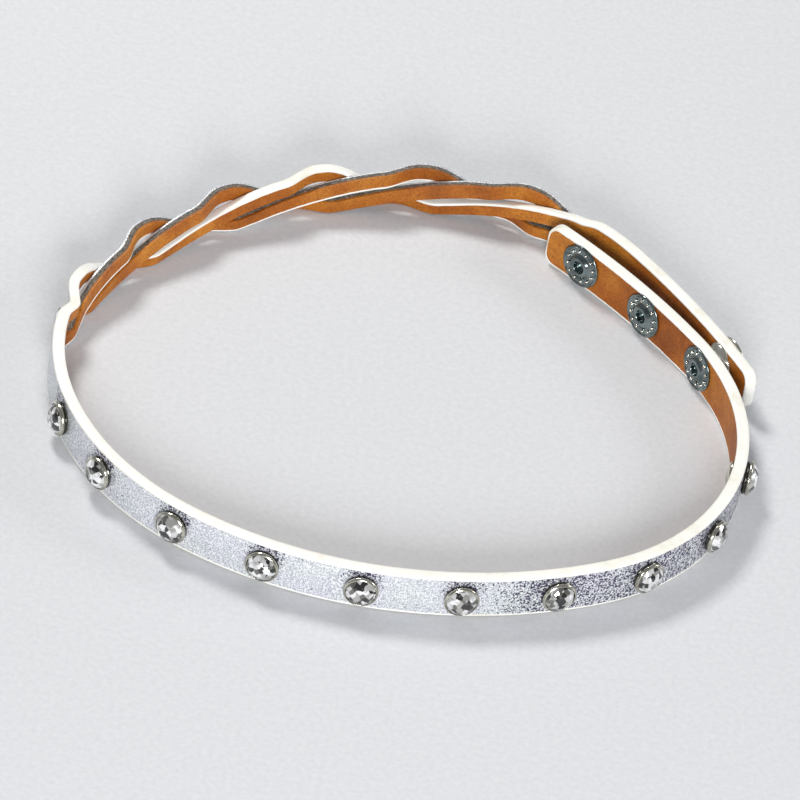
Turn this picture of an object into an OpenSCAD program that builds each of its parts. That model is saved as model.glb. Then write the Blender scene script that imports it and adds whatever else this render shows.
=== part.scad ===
// Snap-back headband: a layered strap whose back is slit into a three-strand braid,
// with ten crystal rivets along the front and one snap that closes on any of three studs.
// Positions along the strap are arc lengths from the inner tab's tip, clockwise seen from
// above. The strap stands on its lower edge, +Z up, and the rivets face away from the head.

/* [Strap] */
// Width of the strap, its height as it stands
strap_w = 11.8; // [11.4:0.1:12.4]
// Thickness of the whole laminate
strap_t = 3.0; // [2.8:0.1:3.1]
// Thickness of the silver face
face_t = 0.7; // [0.4:0.1:0.9]
// Thickness of the leather lining
lining_t = 0.9; // [0.6:0.1:1.1]
// Thickness of the painted coat on the edges
coat_t = 0.35; // [0.2:0.05:0.5]
// Radius of the corners at both tab ends
corner_r = 3.2; // [2:0.1:4]

/* [Loop] */
// Length of each stretch of the loop's curve
bend_len = 53.5; // [53.4:0.05:53.6]
// Radius of each stretch, from the inner tab round to the outer tab
bend_r = [204, 62.5, 61, 120, 103, 69, 63, 118, 96, 62, 240]; // [60:0.5:260]
// Place of the inner tab's tip, right of the centre
tip_x = 28.28; // [25:0.01:35]
// Place of the inner tab's tip, behind the centre
tip_y = 68.53; // [60:0.01:75]
// Where the inner tab starts to flex
inner_flex_s = 80; // [76:1:90]
// Where the outer tab ends
outer_end_s = 588; // [586:0.5:595]

/* [Braid] */
// Where the slits start
braid_start_s = 350; // [345:1:352]
// Where the slits end and the outer tab starts
braid_end_s = 524; // [522:1:526]
// Length in which a strand goes down and comes up again
braid_pitch = 82; // [80:0.5:84]
// Where the upper strand first reaches the foot of the braid
first_foot_s = 389.5; // [388.5:0.5:390.5]
// Width of one strand inside the braid
strand_w = 3.7; // [3.4:0.05:3.75]
// How far a strand moves in or out to pass the others
strand_offset = 1.72; // [1.7:0.01:1.75]

/* [Crystal rivets] */
// Number of crystal rivets
rivet_count = 10; // [6:1:10]
// Where the first rivet sits
first_rivet_s = 100.5; // [98:0.5:102]
// Distance between rivets along the strap
rivet_pitch = 24.4; // [20:0.1:24.6]
// Distance to the last rivet, which sits closer, round the end bend
last_rivet_pitch = 20.8; // [18:0.1:24]
// Radius of the bezel cup
bezel_r = 4.4; // [4:0.05:4.5]
// Radius of the cap on the lining side
rivet_cap_r = 3.5; // [2.6:0.1:3.6]

/* [Snap] */
// Where the first stud sits
first_stud_s = 12.1; // [11.5:0.1:12.5]
// Distance between studs along the strap
stud_pitch = 23.2; // [23:0.1:23.3]
// Where the socket sits on the outer tab
socket_s = 575.14; // [575:0.01:575.3]
// Free gap between the two tabs at the closed snap
snap_gap = 3.1; // [3:0.05:3.2]
// Height of the snap's axis
snap_z = 6.2; // [6.1:0.05:6.3]
// Radius of the eyelet flange on the lining side
eyelet_r = 5.85; // [5.4:0.05:5.9]
// Radius of the cap on the outside
snap_cap_r = 6.1; // [5.6:0.05:6.1]

/* [Hidden] */
$fn = 48;

start_heading = -33;
strap_mid = strap_w / 2;
outside = strap_t / 2;
inside = -strap_t / 2;
face_n = [outside - face_t, outside];
core_n = [inside + lining_t, outside - face_t];
lining_n = [inside, inside + lining_t];
whole_n = [inside, outside];

bend_step = 2.4;
strand_step = 2.4;
spread_ramp = 6;
lift_start = 4;
lift_ramp = 8;
squeeze = 0.1;
slit_cut = 0.06;
strand_swing = (strap_w - strand_w) / 2;

post_r = 1.0;
post_hole_r = 1.05;
seat = 0.11;

barrel_r = 1.9;
barrel_hole_r = 1.95;
eyelet_hole_r = 1.6;
eyelet_seat = 0.3;
bead_count = 12;
bead_r = 0.42;
head_r = 2.45;
mouth_r = 3.05;
cap_post_r = 1.25;
cap_hole_r = 1.3;
socket_seat = 0.06;

silver = "gainsboro";
leather = "chocolate";
fibre = "darkgray";
paint = "ivory";
nickel = "silver";

// ---- The loop's curve: tangent arcs, each a stretch of bend_len ----

// A place on the curve is [x, y, heading]; ahead() moves it d along an arc of radius r
function ahead(p, r, d) =
    let (turned = p[2] - d / r * 180 / PI)
    [p[0] + r * (sin(p[2]) - sin(turned)), p[1] + r * (cos(turned) - cos(p[2])), turned];

knots = [for (i = 0, p = [tip_x, tip_y, start_heading]; i < len(bend_r);
              p = ahead(p, bend_r[i], bend_len), i = i + 1) p];

function stretch(s) = min(max(floor(s / bend_len), 0), len(bend_r) - 1);
function spot(s) = ahead(knots[stretch(s)], bend_r[stretch(s)], s - stretch(s) * bend_len);

// The point n outside the strap's middle surface
function beside(s, n) = let (p = spot(s)) [p[0] - n * sin(p[2]), p[1] + n * cos(p[2])];

function stations(s0, s1, step) =
    let (count = ceil((s1 - s0) / step)) [for (i = [0:count]) s0 + (s1 - s0) * i / count];

// Children stand on the strap at s: their +Z points outward and their +X along the strap
module on_strap(s, z = strap_mid) {
    p = spot(s);
    translate([p[0], p[1], z]) rotate([-90, 0, p[2]]) children();
}

// A layer of the strap between two arc lengths, two offsets and two heights
module layer(s0, s1, n, z0, z1) {
    there = stations(s0, s1, bend_step);
    back = [for (i = [len(there) - 1:-1:0]) there[i]];
    translate([0, 0, z0]) linear_extrude(z1 - z0)
        polygon(concat([for (s = there) beside(s, n[0])], [for (s = back) beside(s, n[1])]));
}

// ---- Holes that fasteners pass through ----

function rivet_s(i) = first_rivet_s + i * rivet_pitch
    - (i == rivet_count - 1 ? rivet_pitch - last_rivet_pitch : 0);
function stud_s(i) = first_stud_s + i * stud_pitch;

module rivet_holes() {
    for (i = [0:rivet_count - 1])
        on_strap(rivet_s(i)) cylinder(r = post_hole_r, h = 2 * strap_t, center = true);
}

module stud_holes() {
    for (i = [0:2])
        on_strap(stud_s(i), snap_z) cylinder(r = barrel_hole_r, h = 2 * strap_t, center = true);
}

module cap_hole() {
    on_strap(socket_s, snap_z) cylinder(r = cap_hole_r, h = 2 * strap_t, center = true);
}

// ---- Tab ends with rounded corners ----

// What a rounded end takes off at s, for a tab that runs the way of dir
module corner_waste(s, dir, inset) {
    reach = corner_r + 1;
    on_strap(s) for (side = [-1, 1])
        translate([-dir * corner_r, side * (strap_mid - corner_r), 0]) difference() {
            translate([dir * reach / 2, side * reach / 2, 0])
                cube([reach, reach, 3 * strap_t], center = true);
            cylinder(r = corner_r - inset, h = 4 * strap_t, center = true);
        }
}

// A tab between its root and its tip, inset from the tip and from both edges
module tab(root_s, tip_s, n, inset) {
    dir = tip_s > root_s ? 1 : -1;
    end_s = tip_s - dir * inset;
    difference() {
        layer(min(root_s, end_s), max(root_s, end_s), n, inset, strap_w - inset);
        corner_waste(tip_s, dir, inset);
    }
}

// The painted coat round a tab's two edges and its tip
module tab_coat(root_s, tip_s) {
    dir = tip_s > root_s ? 1 : -1;
    difference() {
        tab(root_s, tip_s, whole_n, 0);
        tab(root_s - dir, tip_s, [inside - 1, outside + 1], coat_t);
    }
}

// ---- The braid: rising strands pass inside, falling strands pass outside ----

function smooth(t) = let (u = min(max(t, 0), 1)) u * u * (3 - 2 * u);
function from_slit_end(s) = min(s - braid_start_s, braid_end_s - s);

// Both are 0 at the slits' ends and 1 inside the braid. The strands spread in and out of
// the strap's surface first, and only then climb over each other.
function spread(s) = smooth(from_slit_end(s) / spread_ramp);
function lift(s) = smooth((from_slit_end(s) - lift_start) / lift_ramp);

// A strand climbs from the foot to the top over two thirds of a pitch and falls back in the
// last third. Its phase x and these windows are in thirds of a pitch from where it starts up.
climb_ease = 0.25;
top_crossing = [1.7, 2.1];
fall_window = [2.15, 2.85];
foot_crossing = [2.9, 3.25];

// Phase of a strand; k is 0 upper, 1 lower, 2 middle
function phase(k, s) = let (t = (s - first_foot_s) / braid_pitch - k / 3) 3 * (t - floor(t));

function eased(x, window) = smooth((x - window[0]) / (window[1] - window[0]));

// An even climb from 0 to 1 that starts and ends level
function climb(u) = u > 1 - climb_ease ? 1 - climb(1 - u)
    : (u < climb_ease ? u * u / (2 * climb_ease) : u - climb_ease / 2) / (1 - climb_ease);

// Level of a strand, -1 at the foot, 0 in the middle and 1 at the top
function level(x) = x < 2 ? 2 * climb(x / 2) - 1 : 1 - 2 * eased(x, fall_window);

// Side of a strand, -1 toward the head while it rises and 1 away from it while it falls
function side(x) = let (turn = x < foot_crossing[1] - 3 ? x + 3 : x)
    2 * eased(turn, top_crossing) - 2 * eased(turn, foot_crossing) - 1;

lane = [strap_w / 3, -strap_w / 3, 0];
function strand_z(k, s) = strap_mid
    + (1 - lift(s)) * lane[k] + lift(s) * strand_swing * level(phase(k, s));
function strand_n(k, s) = spread(s) * strand_offset * side(phase(k, s));

// Half the height of a strand, which fills its third of the strap at both ends
function half_w(s) = ((1 - spread(s)) * (strap_w / 3 - slit_cut) + spread(s) * strand_w) / 2;

// Cross-section corners of the part of a strand between two offsets and two heights,
// where each height is [side, inset] from the strand's upper (1) or lower (-1) edge
function strand_ring(k, s, n, low, high) =
    let (mid_n = strand_n(k, s), mid_z = strand_z(k, s), thin = 1 - squeeze * spread(s),
         z0 = mid_z + low[0] * (half_w(s) - low[1]), z1 = mid_z + high[0] * (half_w(s) - high[1]),
         a = beside(s, mid_n + n[0] * thin), b = beside(s, mid_n + n[1] * thin))
    [[a[0], a[1], z0], [b[0], b[1], z0], [b[0], b[1], z1], [a[0], a[1], z1]];

// A closed skin over rings that all have the same number of points
module skin(rings) {
    size = len(rings[0]);
    last = len(rings) - 1;
    polyhedron(
        points = [for (ring = rings) for (point = ring) point],
        faces = concat(
            [[for (j = [0:size - 1]) j]],
            [for (i = [0:last - 1]) for (j = [0:size - 1])
                [i * size + j, (i + 1) * size + j, (i + 1) * size + (j + 1) % size]],
            [for (i = [0:last - 1]) for (j = [0:size - 1])
                [i * size + j, (i + 1) * size + (j + 1) % size, i * size + (j + 1) % size]],
            [[for (j = [size - 1:-1:0]) last * size + j]]
        )
    );
}

module strand(k, n, low, high) {
    skin([for (s = stations(braid_start_s, braid_end_s, strand_step))
        strand_ring(k, s, n, low, high)]);
}

// How far the cut or painted edges of each strand stand off its layers; the coat keeps
// a thin seam of glue off the layers, whose facets waver as the strand climbs
strand_seam = 0.03;
bottom_edge = [-1, 0];
top_edge = [1, 0];
bottom_under_coat = [-1, coat_t];
top_under_coat = [1, coat_t];
bottom_coat = [-1, coat_t - strand_seam];
top_coat = [1, coat_t - strand_seam];

module upper_layer(n) { strand(0, n, bottom_edge, top_under_coat); }
module lower_layer(n) { strand(1, n, bottom_under_coat, top_edge); }
module middle_layer(n) { strand(2, n, bottom_edge, top_edge); }

// ---- Strap round the head ----

module band_layer(n) {
    difference() {
        layer(inner_flex_s, braid_start_s, n, coat_t, strap_w - coat_t);
        rivet_holes();
    }
}

module band_face() { color(silver) band_layer(face_n); }
module band_core() { color(fibre) band_layer(core_n); }
module band_lining() { color(leather) band_layer(lining_n); }

module band_edge_coat() {
    color(paint) for (z = [0, strap_w - coat_t])
        layer(inner_flex_s, braid_start_s, whole_n, z, z + coat_t);
}

module upper_strand_face() { color(silver) upper_layer(face_n); }
module upper_strand_core() { color(fibre) upper_layer(core_n); }
module upper_strand_lining() { color(leather) upper_layer(lining_n); }
module upper_strand_coat() { color(paint) strand(0, whole_n, top_coat, top_edge); }
module middle_strand_face() { color(silver) middle_layer(face_n); }
module middle_strand_core() { color(fibre) middle_layer(core_n); }
module middle_strand_lining() { color(leather) middle_layer(lining_n); }
module lower_strand_face() { color(silver) lower_layer(face_n); }
module lower_strand_core() { color(fibre) lower_layer(core_n); }
module lower_strand_lining() { color(leather) lower_layer(lining_n); }
module lower_strand_coat() { color(paint) strand(1, whole_n, bottom_edge, bottom_coat); }

// ---- Crystal rivets ----

module each_rivet() { for (i = [0:rivet_count - 1]) on_strap(rivet_s(i)) children(); }

cup_floor = 0.9;
cup_height = 2.0;
crystal_r = bezel_r - 0.6;
crystal_top = 3.4;

module bezel_cups() {
    color(nickel) each_rivet() translate([0, 0, outside]) rotate_extrude() polygon([
        [0, 0], [bezel_r - 0.8, 0], [bezel_r - 0.3, 0.2], [bezel_r - 0.15, 0.55],
        [bezel_r - 0.4, 0.85], [bezel_r - 0.1, 1.1], [bezel_r, 1.4], [bezel_r - 0.1, 1.75],
        [bezel_r - 0.4, cup_height], [crystal_r, cup_height], [crystal_r, cup_floor],
        [0, cup_floor]
    ]);
}

// One ring of a cut stone: 16 points, every second one at the second radius and height
function cut_ring(r0, r1, z0, z1) = [for (j = [0:15])
    let (r = j % 2 == 0 ? r0 : r1, z = j % 2 == 0 ? z0 : z1)
    [r * cos(22.5 * j), -r * sin(22.5 * j), z]];

module crystals() {
    table_r = crystal_r * 0.55;
    color("lavender") each_rivet() translate([0, 0, outside]) skin([
        cut_ring(crystal_r * 0.8, crystal_r * 0.8, cup_floor, cup_floor),
        cut_ring(crystal_r, crystal_r, 1.6, 1.6),
        cut_ring(crystal_r, crystal_r, 1.95, 1.95),
        cut_ring(crystal_r * 0.86, crystal_r * 0.78, 2.6, 2.85),
        cut_ring(table_r, table_r * cos(22.5), crystal_top, crystal_top)
    ]);
}

module rivet_posts() {
    color(nickel) each_rivet() translate([0, 0, inside - seat])
        cylinder(r = post_r, h = strap_t + seat);
}

module rivet_caps() {
    color(nickel) each_rivet() translate([0, 0, inside - seat]) mirror([0, 0, 1])
        rotate_extrude() polygon([
            [0, 0], [rivet_cap_r - 0.15, 0], [rivet_cap_r, 0.2], [rivet_cap_r - 0.3, 0.65],
            [rivet_cap_r * 0.7, 1.05], [rivet_cap_r * 0.4, 1.3], [0, 1.4]
        ]);
}

// ---- Inner tab: three studs ----

module inner_tab_layer(n) {
    difference() {
        tab(inner_flex_s, 0, n, coat_t);
        stud_holes();
    }
}

module inner_tab_face() { color(silver) inner_tab_layer(face_n); }
module inner_tab_core() { color(fibre) inner_tab_layer(core_n); }
module inner_tab_lining() { color(leather) inner_tab_layer(lining_n); }
module inner_tab_edge_coat() { color(paint) tab_coat(inner_flex_s, 0); }

module each_stud() { for (i = [0:2]) on_strap(stud_s(i), snap_z) children(); }

stud_base_t = 0.45;
stud_height = 2.5;

module snap_studs() {
    color(nickel) each_stud() translate([0, 0, outside]) rotate_extrude() polygon([
        [barrel_hole_r, 0], [4.4, 0], [4.5, 0.15], [4.4, stud_base_t], [2.6, 0.6], [2.2, 0.9],
        [2.2, 1.2], [head_r, 1.55], [head_r, 1.9], [2.1, 2.3], [1.2, stud_height],
        [0, stud_height], [0, 2.1], [barrel_hole_r, 1.8]
    ]);
}

module snap_eyelets() {
    foot = inside - eyelet_seat;
    color("slategray") each_stud() {
        rotate_extrude() polygon([
            [barrel_r, outside + 1.5], [eyelet_hole_r, outside + 1.5], [eyelet_hole_r, foot - 1.1],
            [eyelet_hole_r + 0.35, foot - 1.35], [2.6, foot - 1.25], [3.1, foot - 0.6],
            [4.2, foot - 0.45], [4.9, foot - 0.45], [5.4, foot - 0.7],
            [eyelet_r, foot - 0.45], [eyelet_r, foot - 0.1], [eyelet_r - 0.15, foot],
            [barrel_r, foot]
        ]);
        for (a = [0:bead_count - 1]) rotate([0, 0, a * 360 / bead_count])
            translate([4.4, 0, foot - 0.5]) sphere(r = bead_r, $fn = 24);
    }
}

// ---- Outer tab: cap outside, socket inside ----

module outer_tab_layer(n) {
    difference() {
        tab(braid_end_s, outer_end_s, n, coat_t);
        cap_hole();
    }
}

module outer_tab_face() { color(silver) outer_tab_layer(face_n); }
module outer_tab_core() { color(fibre) outer_tab_layer(core_n); }
module outer_tab_lining() { color(leather) outer_tab_layer(lining_n); }
module outer_tab_edge_coat() { color(paint) tab_coat(braid_end_s, outer_end_s); }

socket_back = inside - socket_seat;
socket_floor_t = 0.3;
socket_front = inside - snap_gap + stud_base_t + 0.3;

module snap_socket() {
    color(nickel) on_strap(socket_s, snap_z) rotate_extrude() polygon([
        [mouth_r, socket_front + 0.15], [mouth_r + 0.25, socket_front],
        [4.4, socket_front + 0.25], [5.0, socket_front + 1.0], [5.5, socket_back - 0.6],
        [5.5, socket_back], [cap_hole_r, socket_back], [cap_hole_r, socket_back - socket_floor_t],
        [mouth_r + 0.6, socket_back - socket_floor_t], [mouth_r + 0.6, socket_front + 0.6],
        [mouth_r, socket_front + 0.4]
    ]);
}

// The spring wire that lies in the socket's groove and closes behind the stud's head
module socket_spring() {
    wire_r = 0.25;
    color(nickel) on_strap(socket_s, snap_z) translate([0, 0, socket_front + 0.95])
        rotate_extrude() translate([mouth_r + 0.3, 0]) circle(r = wire_r, $fn = 24);
}

module snap_cap() {
    color(nickel) on_strap(socket_s, snap_z) {
        translate([0, 0, outside]) rotate_extrude() polygon([
            [0, 0], [snap_cap_r - 0.6, 0], [snap_cap_r - 0.1, 0.25], [snap_cap_r, 0.6],
            [snap_cap_r - 0.3, 1.0], [snap_cap_r - 1.0, 1.2], [snap_cap_r - 1.5, 1.05],
            [snap_cap_r * 0.4, 1.3], [0, 1.35]
        ]);
        translate([0, 0, socket_back - socket_floor_t])
            cylinder(r = cap_post_r, h = outside - socket_back + socket_floor_t);
    }
}

band_face();
band_core();
band_lining();
band_edge_coat();
upper_strand_face();
upper_strand_core();
upper_strand_lining();
upper_strand_coat();
middle_strand_face();
middle_strand_core();
middle_strand_lining();
lower_strand_face();
lower_strand_core();
lower_strand_lining();
lower_strand_coat();
bezel_cups();
crystals();
rivet_posts();
rivet_caps();
inner_tab_face();
inner_tab_core();
inner_tab_lining();
inner_tab_edge_coat();
snap_studs();
snap_eyelets();
outer_tab_face();
outer_tab_core();
outer_tab_lining();
outer_tab_edge_coat();
snap_cap();
snap_socket();
socket_spring();
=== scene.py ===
"""Looks of the snap-back headband: layered strap, three-strand braid, crystal rivets and snap."""

import math

import bpy
from mathutils import Matrix, Vector, noise


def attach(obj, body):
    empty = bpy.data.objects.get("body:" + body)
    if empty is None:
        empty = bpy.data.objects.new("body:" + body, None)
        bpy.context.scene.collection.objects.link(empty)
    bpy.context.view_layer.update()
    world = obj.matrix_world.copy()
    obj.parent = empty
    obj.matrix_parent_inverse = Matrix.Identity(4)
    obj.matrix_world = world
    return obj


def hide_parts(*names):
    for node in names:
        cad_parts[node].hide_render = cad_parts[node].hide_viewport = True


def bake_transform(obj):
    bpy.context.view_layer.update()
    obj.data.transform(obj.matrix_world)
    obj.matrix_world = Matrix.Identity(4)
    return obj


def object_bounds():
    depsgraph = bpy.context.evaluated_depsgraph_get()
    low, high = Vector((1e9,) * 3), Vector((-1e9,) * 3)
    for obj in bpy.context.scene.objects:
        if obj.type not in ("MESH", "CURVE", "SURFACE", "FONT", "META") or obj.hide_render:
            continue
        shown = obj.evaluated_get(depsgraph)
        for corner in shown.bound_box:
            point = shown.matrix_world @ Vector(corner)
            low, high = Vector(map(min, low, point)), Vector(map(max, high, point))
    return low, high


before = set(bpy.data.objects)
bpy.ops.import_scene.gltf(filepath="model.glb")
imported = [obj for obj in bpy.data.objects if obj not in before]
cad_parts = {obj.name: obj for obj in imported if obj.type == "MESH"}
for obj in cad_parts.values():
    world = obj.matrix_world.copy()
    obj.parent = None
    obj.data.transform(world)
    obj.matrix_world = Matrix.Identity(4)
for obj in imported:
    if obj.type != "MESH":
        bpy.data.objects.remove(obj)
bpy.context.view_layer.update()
MM = 0.001

# ---- Driving dimensions in millimetres, the same as in the CAD model ----
STRAP_W, STRAP_T = 11.8, 3.0
STRAP_MID = STRAP_W / 2
FACE_T, LINING_T = 0.7, 0.9
OUTSIDE, INSIDE = STRAP_T / 2, -STRAP_T / 2
FACE_N = (OUTSIDE - FACE_T, OUTSIDE)
CORE_N = (INSIDE + LINING_T, OUTSIDE - FACE_T)
LINING_N = (INSIDE, INSIDE + LINING_T)
UNDER_PAINT = 0.3
CORNER_R = 3.2

BEND_LEN = 53.5
BEND_R = (204, 62.5, 61, 120, 103, 69, 63, 118, 96, 62, 240)
TIP = (28.28, 68.53, math.radians(-33))
INNER_FLEX_S, BRAID_START_S, BRAID_END_S, OUTER_END_S = 80, 350, 524, 588

BRAID_PITCH, FIRST_FOOT_S = 82, 389.5
CLIMB_EASE = 0.25
TOP_CROSSING, FALL_WINDOW, FOOT_CROSSING = (1.7, 2.1), (2.15, 2.85), (2.9, 3.25)
STRAND_W, STRAND_OFFSET, SLIT_CUT = 3.7, 1.72, 0.06
SPREAD_RAMP, LIFT_START, LIFT_RAMP = 6, 4, 8
SQUEEZE = 0.1
STRANDS = 3
LANES = (STRAP_W / STRANDS, -STRAP_W / STRANDS, 0)
UPPER, LOWER, MIDDLE = 0, 1, 2

RIVET_COUNT = 10
FIRST_RIVET_S, RIVET_PITCH, LAST_RIVET_PITCH = 100.5, 24.4, 20.8
RIVET_S = [FIRST_RIVET_S + RIVET_PITCH * i for i in range(RIVET_COUNT - 1)]
RIVET_S.append(RIVET_S[-1] + LAST_RIVET_PITCH)
STUD_COUNT, FIRST_STUD_S, STUD_PITCH = 3, 12.1, 23.2
STUD_S = [FIRST_STUD_S + STUD_PITCH * i for i in range(STUD_COUNT)]
SOCKET_S, SNAP_Z, SNAP_GAP = 575.14, 6.2, 3.1
SEAT, EYELET_SEAT, SOCKET_SEAT = 0.11, 0.3, 0.06


# ---- The loop's curve ----

def ahead(place, radius, distance):
    """The place reached by moving distance along an arc of that radius."""
    x, y, heading = place
    turned = heading - distance / radius
    return (x + radius * (math.sin(heading) - math.sin(turned)),
            y + radius * (math.cos(turned) - math.cos(heading)), turned)


def make_knots():
    places = [TIP]
    for radius in BEND_R[:-1]:
        places.append(ahead(places[-1], radius, BEND_LEN))
    return places


KNOTS = make_knots()


def spot(s):
    i = min(max(int(s // BEND_LEN), 0), len(BEND_R) - 1)
    return ahead(KNOTS[i], BEND_R[i], s - i * BEND_LEN)


def at(s, n, z):
    """The point at arc length s, n outside the middle surface and z up, in metres."""
    x, y, heading = spot(s)
    return Vector((x - n * math.sin(heading), y + n * math.cos(heading), z)) * MM


def stations(s0, s1, step):
    count = max(1, math.ceil(abs(s1 - s0) / step))
    return [s0 + (s1 - s0) * i / count for i in range(count + 1)]


def on_strap(s, z):
    """Matrix in millimetres whose +Z points out of the strap at s and whose +X runs along it."""
    x, y, heading = spot(s)
    turn = Matrix.Rotation(heading, 4, "Z") @ Matrix.Rotation(-math.pi / 2, 4, "X")
    return Matrix.Scale(MM, 4) @ Matrix.Translation((x, y, z)) @ turn


# ---- Mesh making ----

def object_from(name, points, faces, uvs=None, smooth=True):
    """A mesh object from points in metres and faces, with one (u, v) for each corner."""
    mesh = bpy.data.meshes.new(name)
    mesh.from_pydata([tuple(p) for p in points], [], faces)
    if uvs:
        layer = mesh.uv_layers.new(name="along")
        for loop, uv in zip(layer.data, uvs):
            loop.uv = uv
    mesh.validate()
    if smooth:
        mesh.shade_smooth()
    else:
        mesh.shade_flat()
    obj = bpy.data.objects.new(name, mesh)
    bpy.context.scene.collection.objects.link(obj)
    return obj


def swept_data(rings, along, base, across):
    """Faces and corner UVs of a tube through rings. Its two caps have points of their own,
    after the rings' points, so that the sides stay smooth right up to a butt joint.
    UVs run in millimetres: along the strap, then round the ring or up the strap."""
    size = len(rings[0])
    faces, uvs = [], []
    for i in range(len(rings) - 1):
        for j in range(size):
            a, b = base + i * size + j, base + i * size + (j + 1) % size
            faces.append((a, a + size, b + size, b))
            uvs += [(along[i], across[j]), (along[i + 1], across[j]),
                    (along[i + 1], across[j + 1]), (along[i], across[j + 1])]
    first_cap = base + len(rings) * size
    faces.append(tuple(first_cap + j for j in range(size)))
    faces.append(tuple(first_cap + size + j for j in reversed(range(size))))
    uvs += [(along[0], across[j]) for j in range(size)]
    uvs += [(along[-1], across[j]) for j in reversed(range(size))]
    return faces, uvs


def girth(ring):
    """Distance round a ring at each of its points, in millimetres."""
    around = [0.0]
    for j, point in enumerate(ring):
        around.append(around[-1] + (ring[(j + 1) % len(ring)] - point).length / MM)
    return around


def heights(ring):
    """Height of each of a ring's points, in millimetres."""
    return [p.z / MM for p in ring] + [ring[0].z / MM]


def swept(name, tubes, across=girth):
    """One object from tubes, each (rings, arc lengths)."""
    points, faces, uvs = [], [], []
    for rings, along in tubes:
        f, u = swept_data(rings, along, len(points), across(rings[0]))
        points += [p for ring in rings for p in ring] + rings[0] + rings[-1]
        faces += f
        uvs += u
    return object_from(name, points, faces, uvs)


CORNER_STEPS = 3


def rounded_slab(n_range, r, pitch):
    """Outline of a layer's cross-section with rounded corners, as (n, h) points.
    h runs from -1 at the lower edge to 1 at the upper one."""
    n0, n1 = n_range
    corners = ((n1 - r, 1 - r, 0), (n0 + r, 1 - r, 90), (n0 + r, r - 1, 180), (n1 - r, r - 1, 270))
    outline = []
    for n, h, start in corners:
        for k in range(CORNER_STEPS + 1):
            a = math.radians(start + 90 / CORNER_STEPS * k)
            point = (n + r * math.cos(a), h + r * math.sin(a))
            if outline and k == 0:
                outline += between(outline[-1], point, pitch)
            outline.append(point)
    return outline + between(outline[-1], outline[0], pitch)


def between(a, b, pitch):
    """Points that split the way from a to b into equal steps of about pitch."""
    count = int(math.hypot(b[0] - a[0], b[1] - a[1]) // pitch)
    return [(a[0] + (b[0] - a[0]) * i / (count + 1), a[1] + (b[1] - a[1]) * i / (count + 1))
            for i in range(1, count + 1)]


def wobble(s, h, size, scale, seed):
    """A smooth repeatable waver of up to about size, for hand-made edges and fibres."""
    return size * noise.noise(Vector((s * scale, h * scale, seed)))


# ---- Strap layers ----

CROWN = 0.06
LAYER_STEP = 1.2


def tip_stations(root_s, tip_s):
    """Arc lengths from a tab's root to its tip, closer together round the tip's corners."""
    way = 1 if tip_s > root_s else -1
    edge = tip_s - way * CORNER_R
    arc = [edge + way * CORNER_R * math.sin(math.radians(a)) for a in range(10, 91, 10)]
    return stations(root_s, edge, LAYER_STEP) + arc


def clamp_to_tip(s, tip_s):
    """Keeps a layer's end inside the painted rim."""
    return max(s, tip_s + UNDER_PAINT) if tip_s < STRAP_MID else min(s, tip_s - UNDER_PAINT)


def half_height(s, tip_s):
    """Half of a layer's height at s, smaller near a tab's rounded tip."""
    full = STRAP_MID - UNDER_PAINT
    if tip_s is None:
        return full
    r = CORNER_R - UNDER_PAINT
    left = max(abs(tip_s - s) - UNDER_PAINT, 0)
    if left >= r:
        return full
    return full - r + math.sqrt(max(r * r - (r - left) ** 2, 0))


def layer_rings(places, n_range, tip_s, crown):
    """A layer's cross-sections; crown swells its faces a little toward mid height."""
    outline = rounded_slab(n_range, 0.1, 0.2)
    rings = []
    for s in places:
        half = half_height(s, tip_s)
        keep = s if tip_s is None else clamp_to_tip(s, tip_s)
        rings.append([at(keep, n + crown * (1 - h * h) * (1 if n > 0 else -1),
                         STRAP_MID + h * half) for n, h in outline])
    return rings


def layer(name, root_s, end_s, n_range, tip=False, crown=0.0):
    """One layer of the laminate between two arc lengths; tip rounds the far end."""
    places = tip_stations(root_s, end_s) if tip else stations(root_s, end_s, LAYER_STEP)
    if root_s > end_s:
        places = places[::-1]
    rings = layer_rings(places, n_range, end_s if tip else None, crown)
    return swept(name, [(rings, places)], heights)


# ---- Painted edges ----

WRAP = 0.62
LAP_BELOW = -0.5
# The paint's cross-section as (n, height above the strap's edge)
PAINT_PROFILE = (
    (1.53, -WRAP), (1.57, -0.42), (1.52, -0.16), (1.38, -0.02), (1.0, 0.05), (0.4, 0.07),
    (-0.4, 0.07), (-1.0, 0.05), (-1.38, -0.02), (-1.52, -0.16), (-1.57, -0.42), (-1.53, -WRAP),
    (-1.42, -WRAP + 0.02), (-1.38, -0.34), (-0.6, -0.31), (0.6, -0.31), (1.38, -0.34),
    (1.42, -WRAP + 0.02),
)


def edge_path(s0, s1, side):
    """A straight painted edge: (s, h, outward along s, outward along h)."""
    return [(s, side * STRAP_MID, 0.0, float(side)) for s in stations(s0, s1, LAYER_STEP)]


def tab_path(root_s, tip_s):
    """The painted rim of a tab: up one edge, round the tip and back down the other."""
    way = 1 if tip_s > root_s else -1
    centre_s = tip_s - way * CORNER_R
    centre_h = STRAP_MID - CORNER_R
    path = edge_path(root_s, centre_s, 1)[:-1]
    for side, angles in ((1, range(0, 91, 10)), (-1, range(90, -1, -10))):
        for a in angles:
            along, up = math.sin(math.radians(a)), math.cos(math.radians(a))
            path.append((centre_s + way * CORNER_R * along, side * (centre_h + CORNER_R * up),
                         way * along, side * up))
    return path + edge_path(centre_s, root_s, -1)[1:]


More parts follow.
